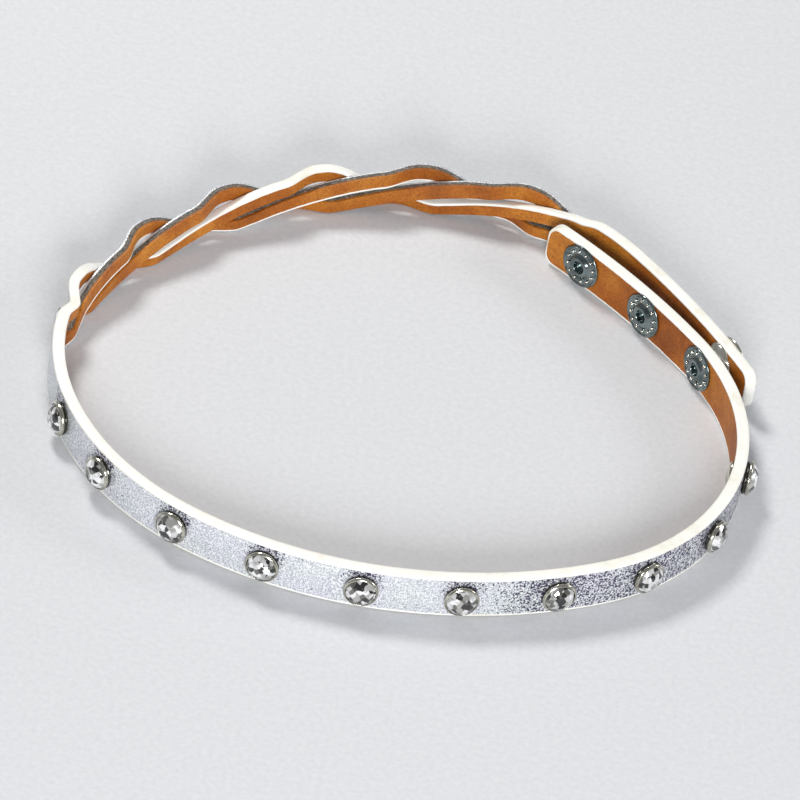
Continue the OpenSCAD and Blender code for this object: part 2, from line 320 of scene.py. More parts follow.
def painted(name, paths):
    """Edge paint swept along paths, a little uneven where it laps onto the two faces."""
    tubes = []
    for seed, path in enumerate(paths):
        rings = []
        for s, h, out_s, out_h in path:
            ring = []
            for n, m in PAINT_PROFILE:
                lap = wobble(s + 31 * seed, n * 9 + h, 0.16, 0.5, 3.0) if m < LAP_BELOW else 0.0
                m_here = m + lap
                ring.append(at(s + out_s * m_here, n, STRAP_MID + h + out_h * m_here))
            rings.append(ring)
        turned = path[0][3] < 0 or path[0][0] > path[-1][0]
        rings = [ring[::-1] for ring in rings] if turned else rings
        tubes.append((rings, [p[0] for p in path]))
    return swept(name, tubes)


# ---- The braid ----

def smooth(t):
    u = min(max(t, 0.0), 1.0)
    return u * u * (3 - 2 * u)


def from_slit_end(s):
    return min(s - BRAID_START_S, BRAID_END_S - s)


def spread(s):
    """0 where the strands leave the solid strap, 1 where they stand apart in the braid."""
    return smooth(from_slit_end(s) / SPREAD_RAMP)


def lift(s):
    """0 where the strands still lie in their own lanes, 1 where they weave."""
    return smooth((from_slit_end(s) - LIFT_START) / LIFT_RAMP)


def phase(k, s):
    """Phase of a strand in thirds of the pitch, 0 where it starts up from the foot."""
    t = (s - FIRST_FOOT_S) / BRAID_PITCH - k / STRANDS
    return STRANDS * (t - math.floor(t))


def eased(x, window):
    return smooth((x - window[0]) / (window[1] - window[0]))


def climb(u):
    """An even climb from 0 to 1 that starts and ends level."""
    if u > 1 - CLIMB_EASE:
        return 1 - climb(1 - u)
    way = u * u / (2 * CLIMB_EASE) if u < CLIMB_EASE else u - CLIMB_EASE / 2
    return way / (1 - CLIMB_EASE)


def level(x):
    """Level of a strand, -1 at the foot, 0 in the middle and 1 at the top."""
    return 2 * climb(x / 2) - 1 if x < 2 else 1 - 2 * eased(x, FALL_WINDOW)


def lane_side(x):
    """-1 toward the head while a strand rises and 1 away from it while it falls."""
    turn = x + STRANDS if x < FOOT_CROSSING[1] - STRANDS else x
    return 2 * eased(turn, TOP_CROSSING) - 2 * eased(turn, FOOT_CROSSING) - 1


def strand_h(k, s):
    """Height of a strand's middle above the strap's middle."""
    swing = (STRAP_W - STRAND_W) / 2
    return (1 - lift(s)) * LANES[k] + lift(s) * swing * level(phase(k, s))


def strand_n(k, s):
    return spread(s) * STRAND_OFFSET * lane_side(phase(k, s))


def strand_half(s):
    return ((1 - spread(s)) * (STRAP_W / STRANDS - SLIT_CUT) + spread(s) * STRAND_W) / 2


FOOT_ROLL, CLIMB_ROLL = math.radians(9), math.radians(-8)
CLIMB_MIDDLE = 1.15
SLOPE_STEP = 0.5


def swell(x):
    """1 at phase 0, falling smoothly to 0 half a pitch away."""
    return (0.5 + 0.5 * math.cos(2 * math.pi * x / STRANDS)) ** 2


def strand_roll(k, s):
    """How far a strand leans its upper edge toward the head: in at its foot, out on its climb."""
    x = phase(k, s)
    return lift(s) * (FOOT_ROLL * swell(x) + CLIMB_ROLL * swell(x - CLIMB_MIDDLE))


def strand_point(k, s, n, h):
    """A point of a strand, n outside and h above its own middle line."""
    slope = (strand_h(k, s + SLOPE_STEP) - strand_h(k, s - SLOPE_STEP)) / (2 * SLOPE_STEP)
    slope *= smooth(from_slit_end(s) / LIFT_START)
    lean = strand_roll(k, s)
    n_turned = n * math.cos(lean) - h * math.sin(lean)
    h_turned = n * math.sin(lean) + h * math.cos(lean)
    run = math.hypot(1, slope)
    return at(s - h_turned * slope / run, strand_n(k, s) + n_turned,
              STRAP_MID + strand_h(k, s) + h_turned / run)


STRAND_STEP = 1.0
FUZZ, FUZZ_SCALE, CUT_EDGE_H = 0.07, 1.7, 0.9


def strand(name, k, n_range, low_inset, high_inset, fuzz=0.0):
    """One layer of a strand; fuzz roughens a raw cut edge."""
    places = stations(BRAID_START_S, BRAID_END_S, STRAND_STEP)
    outline = rounded_slab(n_range, 0.08, 0.25)
    rings = []
    for s in places:
        half, thin = strand_half(s), 1 - SQUEEZE * spread(s)
        low, high = low_inset - half, half - high_inset
        ring = []
        for n, h in outline:
            here = (low + high) / 2 + h * (high - low) / 2
            if abs(h) > CUT_EDGE_H:
                here += wobble(s, n * 4, fuzz, FUZZ_SCALE, k * 5.0) * abs(h)
            ring.append(strand_point(k, s, n * thin, here))
        rings.append(ring)
    return swept(name, [(rings, places)])


def strand_paint(name, k, side):
    """The painted edge that an outer strand keeps from the strap."""
    places = stations(BRAID_START_S, BRAID_END_S, STRAND_STEP)
    rings = []
    for s in places:
        half, thin = strand_half(s), 1 - SQUEEZE * spread(s)
        ring = []
        for n, m in PAINT_PROFILE:
            lap = wobble(s, n * 9, 0.12, 0.5, 7.0 + k) if m < LAP_BELOW else 0.0
            ring.append(strand_point(k, s, n * thin, side * (half + m + lap)))
        rings.append(ring if side > 0 else ring[::-1])
    return swept(name, [(rings, places)])


# ---- Turned metal and cut stones ----

TURNS = 56
ON_AXIS = 1e-6
UV_PER_TURN_STEP = 0.1


def turned_data(profile, matrix, base, steps):
    """Points, faces and UVs of a profile of (radius, height) turned about +Z.
    A profile that starts and ends on the axis makes a closed solid, as does a closed ring."""
    points, faces, uvs, rows = [], [], [], []
    length = 0.0
    for k, (r, z) in enumerate(profile):
        if k:
            length += math.hypot(r - profile[k - 1][0], z - profile[k - 1][1])
        count = 1 if r < ON_AXIS else steps
        rows.append((len(points), count, length))
        for j in range(count):
            a = 2 * math.pi * j / steps
            points.append(matrix @ Vector((r * math.cos(a), r * math.sin(a), z)))
    closed = profile[0] == profile[-1]
    for lower, upper in zip(rows, rows[1:]):
        for j in range(steps):
            corners = [(first + turn % count, turn, length) for (first, count, length), turn in
                       ((lower, j), (lower, j + 1), (upper, j + 1), (upper, j))]
            kept = [c for i, c in enumerate(corners) if c[0] not in [d[0] for d in corners[:i]]]
            faces.append(tuple(base + c[0] for c in kept))
            uvs += [(c[1] * UV_PER_TURN_STEP, c[2]) for c in kept]
    if closed:
        first, last = rows[0][0], rows[-1][0]
        faces = [tuple(base + first + (i - base - last) if i >= base + last else i for i in f)
                 for f in faces]
        points = points[:last]
    return points, faces, uvs


def turned(name, profiles, steps=TURNS):
    """One object from (profile, matrix) pairs."""
    points, faces, uvs = [], [], []
    for profile, matrix in profiles:
        p, f, u = turned_data(profile, matrix, len(points), steps)
        points += p
        faces += f
        uvs += u
    return object_from(name, points, faces, uvs)


LONGEST_CUT = 0.45


def softened(profile, r=0.09, steps=3):
    """The profile with its corners rounded, so that metal edges catch light."""
    closed = profile[0] == profile[-1]
    body = list(profile[:-1]) if closed else list(profile)
    out = []
    for i, p in enumerate(body):
        if not closed and i in (0, len(body) - 1):
            out.append(p)
            continue
        a, b = Vector(body[i - 1]), Vector(body[(i + 1) % len(body)])
        c = Vector(p)
        ra = min(r, (a - c).length * LONGEST_CUT)
        rb = min(r, (b - c).length * LONGEST_CUT)
        p0, p1 = c + (a - c).normalized() * ra, c + (b - c).normalized() * rb
        for k in range(steps + 1):
            t = k / steps
            out.append(tuple(p0 * (1 - t) ** 2 + c * 2 * t * (1 - t) + p1 * t * t))
    if closed:
        out.append(out[0])
    return out


BEZEL_R, CUP_H = 4.4, 2.0
CRYSTAL_R, CRYSTAL_TOP = BEZEL_R - 0.6, 3.4
CUP_PROFILE = (
    (0, 0), (BEZEL_R - 0.8, 0), (BEZEL_R - 0.3, 0.2), (BEZEL_R - 0.15, 0.55),
    (BEZEL_R - 0.4, 0.85), (BEZEL_R - 0.1, 1.1), (BEZEL_R, 1.4), (BEZEL_R - 0.1, 1.75),
    (BEZEL_R - 0.4, CUP_H), (CRYSTAL_R + 0.03, CUP_H), (CRYSTAL_R + 0.03, 1.5),
    (CRYSTAL_R - 0.3, 0.75), (0, 0.45),
)


def bezel_cups():
    return turned("bezel_cup_rings", [
        (softened(CUP_PROFILE), on_strap(s, STRAP_MID) @ Matrix.Translation((0, 0, OUTSIDE)))
        for s in RIVET_S])


STONE_SIDES = 16
STONE_STEP = 2 * math.pi / STONE_SIDES
STONE_TURN = math.radians(37)
TABLE = 0.54
# Rings of a brilliant-cut stone from its pavilion up to its table, with a radius as a share of
# the stone's and a height for its even corners, then for its odd ones
STONE_RINGS = (
    ((0.32, 0.32 * 0.92), (0.72, 0.72)), ((0.74, 0.70), (1.12, 1.2)), ((1, 1), (1.62, 1.62)),
    ((1, 1), (1.92, 1.92)), ((0.9, 0.84), (2.42, 2.62)), ((0.70, 0.74), (3.02, 2.95)),
    ((TABLE, TABLE * math.cos(STONE_STEP)), (CRYSTAL_TOP, CRYSTAL_TOP)),
)


def stone_ring(shares, levels):
    return [Vector((CRYSTAL_R * shares[j % 2] * math.cos(STONE_STEP * j),
                    CRYSTAL_R * shares[j % 2] * math.sin(STONE_STEP * j), levels[j % 2]))
            for j in range(STONE_SIDES)]


def crystals():
    """Ten cut stones, each turned a little differently in its cup."""
    points, faces = [], []
    for i, s in enumerate(RIVET_S):
        matrix = (on_strap(s, STRAP_MID) @ Matrix.Translation((0, 0, OUTSIDE))
                  @ Matrix.Rotation(STONE_TURN * i, 4, "Z"))
        bottom = len(points)
        top = bottom + STONE_SIDES * (len(STONE_RINGS) - 1)
        points += [matrix @ p for ring in STONE_RINGS for p in stone_ring(*ring)]
        for a in range(len(STONE_RINGS) - 1):
            for j in range(STONE_SIDES):
                p = bottom + STONE_SIDES * a + j
                q = bottom + STONE_SIDES * a + (j + 1) % STONE_SIDES
                p_up, q_up = p + STONE_SIDES, q + STONE_SIDES
                if (j + a) % 2:
                    faces += [(p, q, q_up), (p, q_up, p_up)]
                else:
                    faces += [(p, q, p_up), (q, q_up, p_up)]
        faces.append(tuple(bottom + j for j in reversed(range(STONE_SIDES))))
        faces.append(tuple(top + j for j in range(STONE_SIDES)))
    return object_from("cut_crystals", points, faces, smooth=False)


RIVET_CAP_R = 3.5
CAP_PROFILE = (
    (0, 0), (RIVET_CAP_R - 0.15, 0), (RIVET_CAP_R, 0.2), (RIVET_CAP_R - 0.3, 0.65),
    (RIVET_CAP_R * 0.7, 1.05), (RIVET_CAP_R * 0.4, 1.3), (0, 1.4),
)


def rivet_caps():
    flip = Matrix.Translation((0, 0, INSIDE - SEAT)) @ Matrix.Rotation(math.pi, 4, "X")
    return turned("rivet_cap_domes", [
        (softened(CAP_PROFILE, 0.3, 4), on_strap(s, STRAP_MID) @ flip) for s in RIVET_S])


# ---- Snap ----

EYELET_R, EYELET_HOLE_R, BARREL_R, BARREL_HOLE_R = 5.85, 1.6, 1.9, 1.95
FOOT = INSIDE - EYELET_SEAT
HOLE_FLOOR, BARREL_END = INSIDE - 0.14, OUTSIDE + 1.5
# A flange with a blind hole; the floor of the hole hides the lining behind it
EYELET_PROFILE = (
    (0, HOLE_FLOOR), (EYELET_HOLE_R, HOLE_FLOOR), (EYELET_HOLE_R, FOOT - 1.05),
    (1.8, FOOT - 1.27), (2.2, FOOT - 1.35), (2.65, FOOT - 1.2), (3.15, FOOT - 0.72),
    (3.6, FOOT - 0.42), (4.5, FOOT - 0.36), (5.1, FOOT - 0.45), (5.45, FOOT - 0.7),
    (EYELET_R, FOOT - 0.45), (EYELET_R, FOOT - 0.1), (EYELET_R - 0.15, FOOT),
    (BARREL_R, FOOT), (BARREL_R, BARREL_END), (0, BARREL_END),
)

PETALS, PETAL_RING_R, PETAL_RING_W, PETAL_DEPTH = 12, 5.0, 0.5, 0.36
NEAR_FLANGE_R, NEAR_FLANGE_Z, FLANGE_TOP = 6.5, 6, FOOT - 0.2


def eyelets():
    """Flanges with a scalloped ring of petals pressed into them."""
    piece = turned("eyelet_flanges", [
        (softened(EYELET_PROFILE, 0.12), on_strap(s, SNAP_Z)) for s in STUD_S])
    for s in STUD_S:
        press_petals(piece, s)
    return piece


def press_petals(piece, s):
    """Presses petals into the flange at s, on the side that faces the head."""
    matrix = on_strap(s, SNAP_Z)
    back = matrix.inverted()
    for v in piece.data.vertices:
        p = back @ v.co
        r = math.hypot(p.x, p.y)
        if r > NEAR_FLANGE_R or abs(p.z) > NEAR_FLANGE_Z or p.z > FLANGE_TOP:
            continue
        ring = math.exp(-((r - PETAL_RING_R) / PETAL_RING_W) ** 2)
        lobe = abs(math.cos(PETALS / 2 * math.atan2(p.y, p.x)))
        p.z += ring * PETAL_DEPTH * (lobe - 0.5)
        v.co = matrix @ p


BEAD_R, BEAD_RING_R, BEAD_Z = 0.46, 4.25, FOOT - 0.5
BEAD_ROWS, BEAD_TURNS = 8, 14


def beads():
    """The ring of small beads round each eyelet."""
    turns = [math.pi * k / BEAD_ROWS for k in range(1, BEAD_ROWS)]
    sides = [(BEAD_R * math.sin(a), -BEAD_R * math.cos(a)) for a in turns]
    profile = [(0, -BEAD_R), *sides, (0, BEAD_R)]
    places = []
    for s in STUD_S:
        for k in range(PETALS):
            a = 2 * math.pi * (k + 0.5) / PETALS
            x, y = BEAD_RING_R * math.cos(a), BEAD_RING_R * math.sin(a)
            seat = Matrix.Translation((x, y, BEAD_Z))
            places.append((profile, on_strap(s, SNAP_Z) @ seat))
    return turned("eyelet_beads", places, BEAD_TURNS)


HEAD_R, STUD_BASE_T, STUD_H = 2.45, 0.45, 2.5
STUD_PROFILE = (
    (BARREL_HOLE_R, 0), (4.4, 0), (4.5, 0.15), (4.4, STUD_BASE_T), (2.6, 0.6), (2.2, 0.9),
    (2.2, 1.2), (HEAD_R, 1.55), (HEAD_R, 1.9), (2.1, 2.3), (1.2, STUD_H), (0, STUD_H),
)


def studs():
    return turned("stud_heads", [
        (softened(STUD_PROFILE, 0.14), on_strap(s, SNAP_Z) @ Matrix.Translation((0, 0, OUTSIDE)))
        for s in STUD_S])


MOUTH_R, SOCKET_R, SOCKET_WALL, CAP_HOLE_R, CAP_POST_R = 3.05, 5.5, 0.3, 1.3, 1.25
SOCKET_BACK = INSIDE - SOCKET_SEAT
SOCKET_FRONT = INSIDE - SNAP_GAP + STUD_BASE_T + 0.3
SOCKET_PROFILE = (
    (MOUTH_R, SOCKET_FRONT + 0.15), (MOUTH_R + 0.25, SOCKET_FRONT), (4.4, SOCKET_FRONT + 0.25),
    (5.0, SOCKET_FRONT + 1.0), (SOCKET_R, SOCKET_BACK - 0.6), (SOCKET_R, SOCKET_BACK),
    (CAP_HOLE_R, SOCKET_BACK), (CAP_HOLE_R, SOCKET_BACK - SOCKET_WALL),
    (MOUTH_R + 0.6, SOCKET_BACK - SOCKET_WALL),
    (MOUTH_R + 0.6, SOCKET_FRONT + 0.6), (MOUTH_R, SOCKET_FRONT + 0.4),
    (MOUTH_R, SOCKET_FRONT + 0.15),
)


def socket():
    return turned("socket_shell", [(softened(SOCKET_PROFILE, 0.12), on_strap(SOCKET_S, SNAP_Z))])


SNAP_CAP_R = 6.1
SNAP_CAP_PROFILE = (
    (0, 0), (SNAP_CAP_R - 0.6, 0), (SNAP_CAP_R - 0.1, 0.25), (SNAP_CAP_R, 0.6),
    (SNAP_CAP_R - 0.3, 1.0), (SNAP_CAP_R - 1.0, 1.2), (SNAP_CAP_R - 1.5, 1.05),
    (SNAP_CAP_R * 0.4, 1.3), (0, 1.35),
)


def snap_cap():
    matrix = on_strap(SOCKET_S, SNAP_Z)
    post_end = SOCKET_BACK - SOCKET_WALL
    post = ((0, post_end), (CAP_POST_R, post_end), (CAP_POST_R, OUTSIDE), (0, OUTSIDE))
    return turned("snap_cap_dome", [
        (softened(SNAP_CAP_PROFILE, 0.2, 4), matrix @ Matrix.Translation((0, 0, OUTSIDE))),
        (post, matrix)])


# ---- Materials ----

MIX_A, MIX_B, MIX_OUT = 6, 7, 2


def colour_of(node):
    """A node's colour output."""
    return node.outputs[MIX_OUT if node.bl_idname == "ShaderNodeMix" else 0]


class Nodes:
    """A short way to wire a material's nodes."""

    def __init__(self, name):
        self.material = bpy.data.materials.new(name)
        self.material.use_nodes = True
        self.tree = self.material.node_tree
        self.tree.nodes.clear()
        self.out = self.add("ShaderNodeOutputMaterial")
        self.shader = self.add("ShaderNodeBsdfPrincipled")
        self.link(self.shader, "BSDF", self.out, "Surface")

    def add(self, kind, **values):
        node = self.tree.nodes.new(kind)
        for key, value in values.items():
            if hasattr(node, key):
                setattr(node, key, value)
            else:
                node.inputs[key.replace("_", " ")].default_value = value
        return node

    def link(self, a, a_out, b, b_in):
        self.tree.links.new(a.outputs[a_out], b.inputs[b_in])

    def set(self, **values):
        for key, value in values.items():
            self.shader.inputs[key.replace("_", " ")].default_value = value

    def coords(self, kind, scale=(1, 1, 1)):
        """Texture coordinates; Object runs in metres and UV in millimetres."""
        source = self.add("ShaderNodeTexCoord")
        mapping = self.add("ShaderNodeMapping")
        mapping.inputs["Scale"].default_value = scale
        self.link(source, kind, mapping, "Vector")
        return mapping

    def noise(self, coords, scale, detail, roughness=0.55, distortion=0.0):
        node = self.add("ShaderNodeTexNoise", Scale=scale, Detail=detail, Roughness=roughness,
                        Distortion=distortion)
        self.link(coords, "Vector", node, "Vector")
        return node

    def voronoi(self, coords, scale, feature):
        node = self.add("ShaderNodeTexVoronoi", feature=feature, Scale=scale)
        self.link(coords, "Vector", node, "Vector")
        return node

    def ramp(self, source, output, stops):
        """A colour ramp over (place, colour) stops."""
        node = self.add("ShaderNodeValToRGB")
        elements = node.color_ramp.elements
        while len(elements) < len(stops):
            elements.new(0.5)
        for element, (place, colour) in zip(elements, stops):
            element.position = place
            element.color = (*colour, 1)
        self.link(source, output, node, "Fac")
        return node

    def mix(self, factor, a, b, blend="MIX"):
        """Mixes two colours, each a node or plain; factor is a number or (node, output)."""
        node = self.add("ShaderNodeMix", data_type="RGBA", blend_type=blend)
        if isinstance(factor, tuple):
            self.tree.links.new(factor[0].outputs[factor[1]], node.inputs[0])
        else:
            node.inputs[0].default_value = factor
        for slot, source in ((MIX_A, a), (MIX_B, b)):
            if isinstance(source, tuple):
                node.inputs[slot].default_value = (*source, 1)
            else:
                self.tree.links.new(colour_of(source), node.inputs[slot])
        return node

    def math(self, operation, a, b=None):
        """A math node over numbers or (node, output) pairs."""
        node = self.add("ShaderNodeMath", operation=operation)
        for slot, value in enumerate((a, b)):
            if isinstance(value, tuple):
                self.tree.links.new(value[0].outputs[value[1]], node.inputs[slot])
            elif value is not None:
                node.inputs[slot].default_value = value
        return node

    def range(self, source, output, low, high):
        """A value from 0 to 1 turned into one from low to high."""
        node = self.add("ShaderNodeMapRange", To_Min=low, To_Max=high)
        self.link(source, output, node, "Value")
        return node

    def smooth_range(self, source, output, start, end, low, high):
        """A value that moves smoothly from low at start to high at end."""
        node = self.add("ShaderNodeMapRange", interpolation_type="SMOOTHSTEP",
                        From_Min=start, From_Max=end, To_Min=low, To_Max=high)
        self.link(source, output, node, "Value")
        return node

    def bump(self, source, output, distance, strength=1.0, below=None):
        node = self.add("ShaderNodeBump", Strength=strength, Distance=distance)
        self.link(source, output, node, "Height")
        if below:
            self.link(below, "Normal", node, "Normal")
        return node

    def finish(self, colour=None, roughness=None, bump=None):
        if colour:
            self.tree.links.new(colour_of(colour), self.shader.inputs["Base Color"])
        if roughness:
            self.tree.links.new(roughness.outputs[0], self.shader.inputs["Roughness"])
        if bump:
            self.link(bump, "Normal", self.shader, "Normal")
        return self.material


# Painted light on the silver face: a painted reflection thins the dark flecks along the left, and
# painted shade gathers them above each rivet
PAINTED_REFLECTION_FROM_S, PAINTED_REFLECTION_TO_S, PAINTED_REFLECTION_SHIFT = 180, 199, 0.21
RIVET_SHADE_Z, RIVET_SHADE_CORE, RIVET_SHADE_REACH, RIVET_SHADE_SHIFT = 9.6, 2.5, 7.0, 0.21
DARKEST_SHADE_SHIFT = -0.02


def painted_light_shift(m):
    """How much the dark flecks thin out: few along the left, a painted reflection, many above each
    rivet, painted shade.
    """
    place = m.add("ShaderNodeSeparateXYZ")
    m.link(m.add("ShaderNodeTexCoord"), "UV", place, "Vector")
    along = m.math("SUBTRACT", (place, "X"), FIRST_RIVET_S)
    pitches = m.math("DIVIDE", (along, 0), RIVET_PITCH)
    nearest = m.math("MULTIPLY", (m.math("PINGPONG", (pitches, 0), 0.5), 0), RIVET_PITCH)
    rise = m.math("SUBTRACT", (place, "Y"), RIVET_SHADE_Z)
    squares = m.math("ADD", (m.math("POWER", (nearest, 0), 2.0), 0),
                     (m.math("MULTIPLY", (rise, 0), (rise, 0)), 0))
    reach = m.math("SQRT", (squares, 0))
    # Painted shade round the spot above each rivet
    ring = m.smooth_range(reach, 0, RIVET_SHADE_CORE, RIVET_SHADE_REACH, RIVET_SHADE_SHIFT, 0.0)
    before_braid = m.math("LESS_THAN", (place, "X"), RIVET_S[-1] + RIVET_SHADE_REACH)
    rivet_shade = m.math("MULTIPLY", (ring, 0), (before_braid, 0))
    # Painted reflection: fewer dark flecks along the left
    thin = m.smooth_range(place, "X", PAINTED_REFLECTION_FROM_S, PAINTED_REFLECTION_TO_S, 0.0, PAINTED_REFLECTION_SHIFT)
    shift = m.math("SUBTRACT", (thin, 0), (rivet_shade, 0))
    return m.math("MAXIMUM", (shift, 0), DARKEST_SHADE_SHIFT)


GRAIN_SCALE, PORE_SCALE = 1900, 1500
# Colour of the dark flecks: painted shade in the pits of the grain
PIT_SHADE_COLOUR = (0.050, 0.040, 0.090)


def silver_face_material():
    """Silver-coated leather: bright pebbles, dark painted-shade flecks gathering by the rivets."""
    m = Nodes("silver_leather")
    place = m.coords("Object")
    grain = m.noise(place, GRAIN_SCALE, 1.0, 0.5, 0.6)
    pebbles = m.voronoi(place, PORE_SCALE, "DISTANCE_TO_EDGE")
    glitter = m.noise(place, 2700, 2.0, 0.6)
    patches = m.noise(place, 90, 2.0)
    # The grain's level, moved by the painted reflection on the left and the painted shade by the
    # rivets
    level_with_painted_light = m.math("ADD", (grain, "Fac"), (painted_light_shift(m), 0))
    silver = m.ramp(glitter, "Fac", [(0.38, (0.44, 0.47, 0.50)), (0.50, (0.64, 0.67, 0.69)),
                                     (0.61, (0.98, 0.98, 0.98))])
    cast = m.ramp(patches, "Fac", [(0.35, (0.96, 0.94, 1.0)), (0.65, (0.98, 1.0, 0.99))])
    tinted = m.mix(1.0, silver, cast, "MULTIPLY")
    # Dark flecks of painted shade where that level is low
    clear = m.ramp(level_with_painted_light, 0, [(0.465, (0.0, 0.0, 0.0)), (0.50, (1.0, 1.0, 1.0))])
    colour = m.mix((clear, "Color"), PIT_SHADE_COLOUR, tinted)
    gloss = m.range(glitter, "Fac", 0.48, 0.22)
    low = m.bump(pebbles, "Distance", 0.0002, 0.5)
    high = m.bump(grain, "Fac", 0.00025, 0.6, low)
    m.set(Metallic=0.25, Coat_Weight=0.2, Coat_Roughness=0.25)
    return m.finish(colour, gloss, high)


def tan_leather_material():
    """Smooth cognac lining with pores, soft mottling and a few rubbed places."""
    m = Nodes("tan_leather")
    place = m.coords("Object")
    mottle = m.noise(place, 45, 4.0, 0.6)
    grain = m.noise(place, GRAIN_SCALE, 5.0, 0.7)
    pores = m.voronoi(place, PORE_SCALE, "F1")
    base = m.ramp(mottle, "Fac", [(0.34, (0.27, 0.070, 0.006)), (0.50, (0.42, 0.124, 0.011)),
                                  (0.68, (0.60, 0.235, 0.028))])
    speckle = m.ramp(grain, "Fac", [(0.38, (0.46, 0.40, 0.34)), (0.54, (1, 1, 1))])
    colour = m.mix(0.7, base, speckle, "MULTIPLY")
    gloss = m.range(grain, "Fac", 0.40, 0.66)
    low = m.bump(pores, "Distance", 0.00012, 0.35)
    high = m.bump(grain, "Fac", 0.00014, 0.6, low)
    m.set(Specular_IOR_Level=0.3)
    return m.finish(colour, gloss, high)


def edge_paint_material():
    """Off-white edge paint with brush waves and a little soiling."""
    m = Nodes("edge_paint")
    place = m.coords("Object")
    soil = m.noise(place, 130, 5.0, 0.65)
    brush = m.noise(m.coords("UV", (0.35, 2.2, 1)), 1.0, 3.0)
    colour = m.ramp(soil, "Fac", [(0.28, (0.82, 0.78, 0.66)), (0.45, (0.93, 0.91, 0.84)),
                                  (0.7, (0.96, 0.95, 0.91))])
    gloss = m.range(soil, "Fac", 0.5, 0.3)
    low = m.bump(brush, "Fac", 0.00012, 0.35)
    fine = m.noise(place, 1600, 2.0)
    high = m.bump(fine, "Fac", 0.00004, 0.3, low)
    m.set(Coat_Weight=0.2, Coat_Roughness=0.2, Subsurface_Weight=0.05, Subsurface_Scale=0.001)
    return m.finish(colour, gloss, high)


def raw_core_material():
    """Cut fibre between the face and the lining: grey strands running along the strap."""
    m = Nodes("raw_fibre_core")
    strands = m.noise(m.coords("UV", (0.9, 7.0, 1)), 1.0, 6.0, 0.72, 0.8)
    clumps = m.noise(m.coords("Object"), 1300, 4.0, 0.7)
    fibre = m.ramp(strands, "Fac", [(0.34, (0.035, 0.028, 0.022)), (0.46, (0.16, 0.135, 0.11)),
                                    (0.58, (0.38, 0.34, 0.29)), (0.72, (0.66, 0.62, 0.55))])
    dusty = m.ramp(clumps, "Fac", [(0.36, (0.3, 0.28, 0.26)), (0.6, (1, 1, 1))])
    colour = m.mix(0.8, fibre, dusty, "MULTIPLY")
    low = m.bump(strands, "Fac", 0.0003, 0.8)
    high = m.bump(clumps, "Fac", 0.0002, 0.7, low)
    m.set(Roughness=0.92, Specular_IOR_Level=0.2)
    return m.finish(colour, None, high)


def scratches_on(m):
    """Fine scratches, finer across than along."""
    return m.noise(m.coords("Object", (1, 9, 1)), 1400, 3.0, 0.6, 1.5)


def metal_material(name, light, dark, rough_low, rough_high):
    """Plated metal with tarnish patches and fine handling scratches."""
    m = Nodes(name)
    place = m.coords("Object")
    tarnish = m.noise(place, 260, 5.0, 0.6)
    scratches = scratches_on(m)
    colour = m.ramp(tarnish, "Fac", [(0.3, dark), (0.62, light)])
    gloss = m.range(scratches, "Fac", rough_low, rough_high)
    dents = m.bump(tarnish, "Fac", 0.00005, 0.25)
    fine = m.bump(scratches, "Fac", 0.00002, 0.15, dents)
    m.set(Metallic=1.0)
    return m.finish(colour, gloss, fine)


# Painted shade: plating brightness at places along the cup's profile, each a share of CUP_GIRTH
GROOVE_SHADE_STOPS = ((0.50, 0.25), (0.60, 0.10), (0.655, 1.0), (0.80, 1.0), (0.825, 0.06))
CUP_GIRTH = 8.0


def bezel_material():
    """Nickel with painted shade at the foot, in the groove under the rim and inside the cup."""
    m = Nodes("bezel_nickel")
    place = m.coords("Object")
    tarnish = m.noise(place, 300, 5.0, 0.6)
    plate = m.ramp(tarnish, "Fac", [(0.3, (0.36, 0.35, 0.28)), (0.62, (0.74, 0.72, 0.62))])
    along = m.add("ShaderNodeSeparateXYZ")
    m.link(m.coords("UV", (1, 1 / CUP_GIRTH, 1)), "Vector", along, "Vector")
    # Painted shade along the cup's profile
    groove_shade = m.ramp(along, "Y", [(at_girth, (tone, tone, tone)) for at_girth, tone in GROOVE_SHADE_STOPS])
    scratches = scratches_on(m)
    m.set(Metallic=1.0)
    return m.finish(m.mix(1.0, plate, groove_shade, "MULTIPLY"), m.range(scratches, "Fac", 0.1, 0.26),
                    m.bump(scratches, "Fac", 0.00002, 0.15))


def crystal_material():
    """Foiled cut crystal: inner facets painted as white, grey or black reflections under a clear
    coat.
    """
    m = Nodes("cut_crystal")
    facets = m.voronoi(m.coords("Object"), 760, "F1")
    parts = m.add("ShaderNodeSeparateColor")
    m.link(facets, "Color", parts, "Color")
    # Painted reflections: each facet cell gets a flat white, grey or black
    colour = m.ramp(parts, "Red", [(0.0, (0.02, 0.02, 0.02)), (0.24, (0.16, 0.16, 0.14)),
                                   (0.40, (0.48, 0.48, 0.45)), (0.58, (1.0, 1.0, 1.0)),
                                   (0.88, (0.70, 0.70, 0.68))])
    colour.color_ramp.interpolation = "CONSTANT"
    haze = m.noise(m.coords("Object"), 420, 3.0)
    gloss = m.range(haze, "Fac", 0.05, 0.12)
    m.set(Metallic=0.6, Coat_Weight=1.0, Coat_Roughness=0.02, Coat_IOR=1.7)
    return m.finish(colour, gloss)


SILVER = silver_face_material()
TAN = tan_leather_material()
PAINT = edge_paint_material()
CORE = raw_core_material()
NICKEL = metal_material("nickel_plate", (0.80, 0.78, 0.70), (0.50, 0.49, 0.42), 0.08, 0.24)
DARK_NICKEL = metal_material("dark_nickel_plate", (0.26, 0.31, 0.31), (0.09, 0.12, 0.125),
                             0.10, 0.22)
BEZEL_NICKEL = bezel_material()
CRYSTAL = crystal_material()


# ---- Putting the object together ----

def dress(piece, material):
    piece.data.materials.clear()
    piece.data.materials.append(material)


def stand_for(piece, body, material, slot_name, *nodes):
    """Rides a piece on its body, in place of the CAD nodes it stands for."""
    dress(piece, material)
    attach(piece, body)
    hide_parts(*nodes)


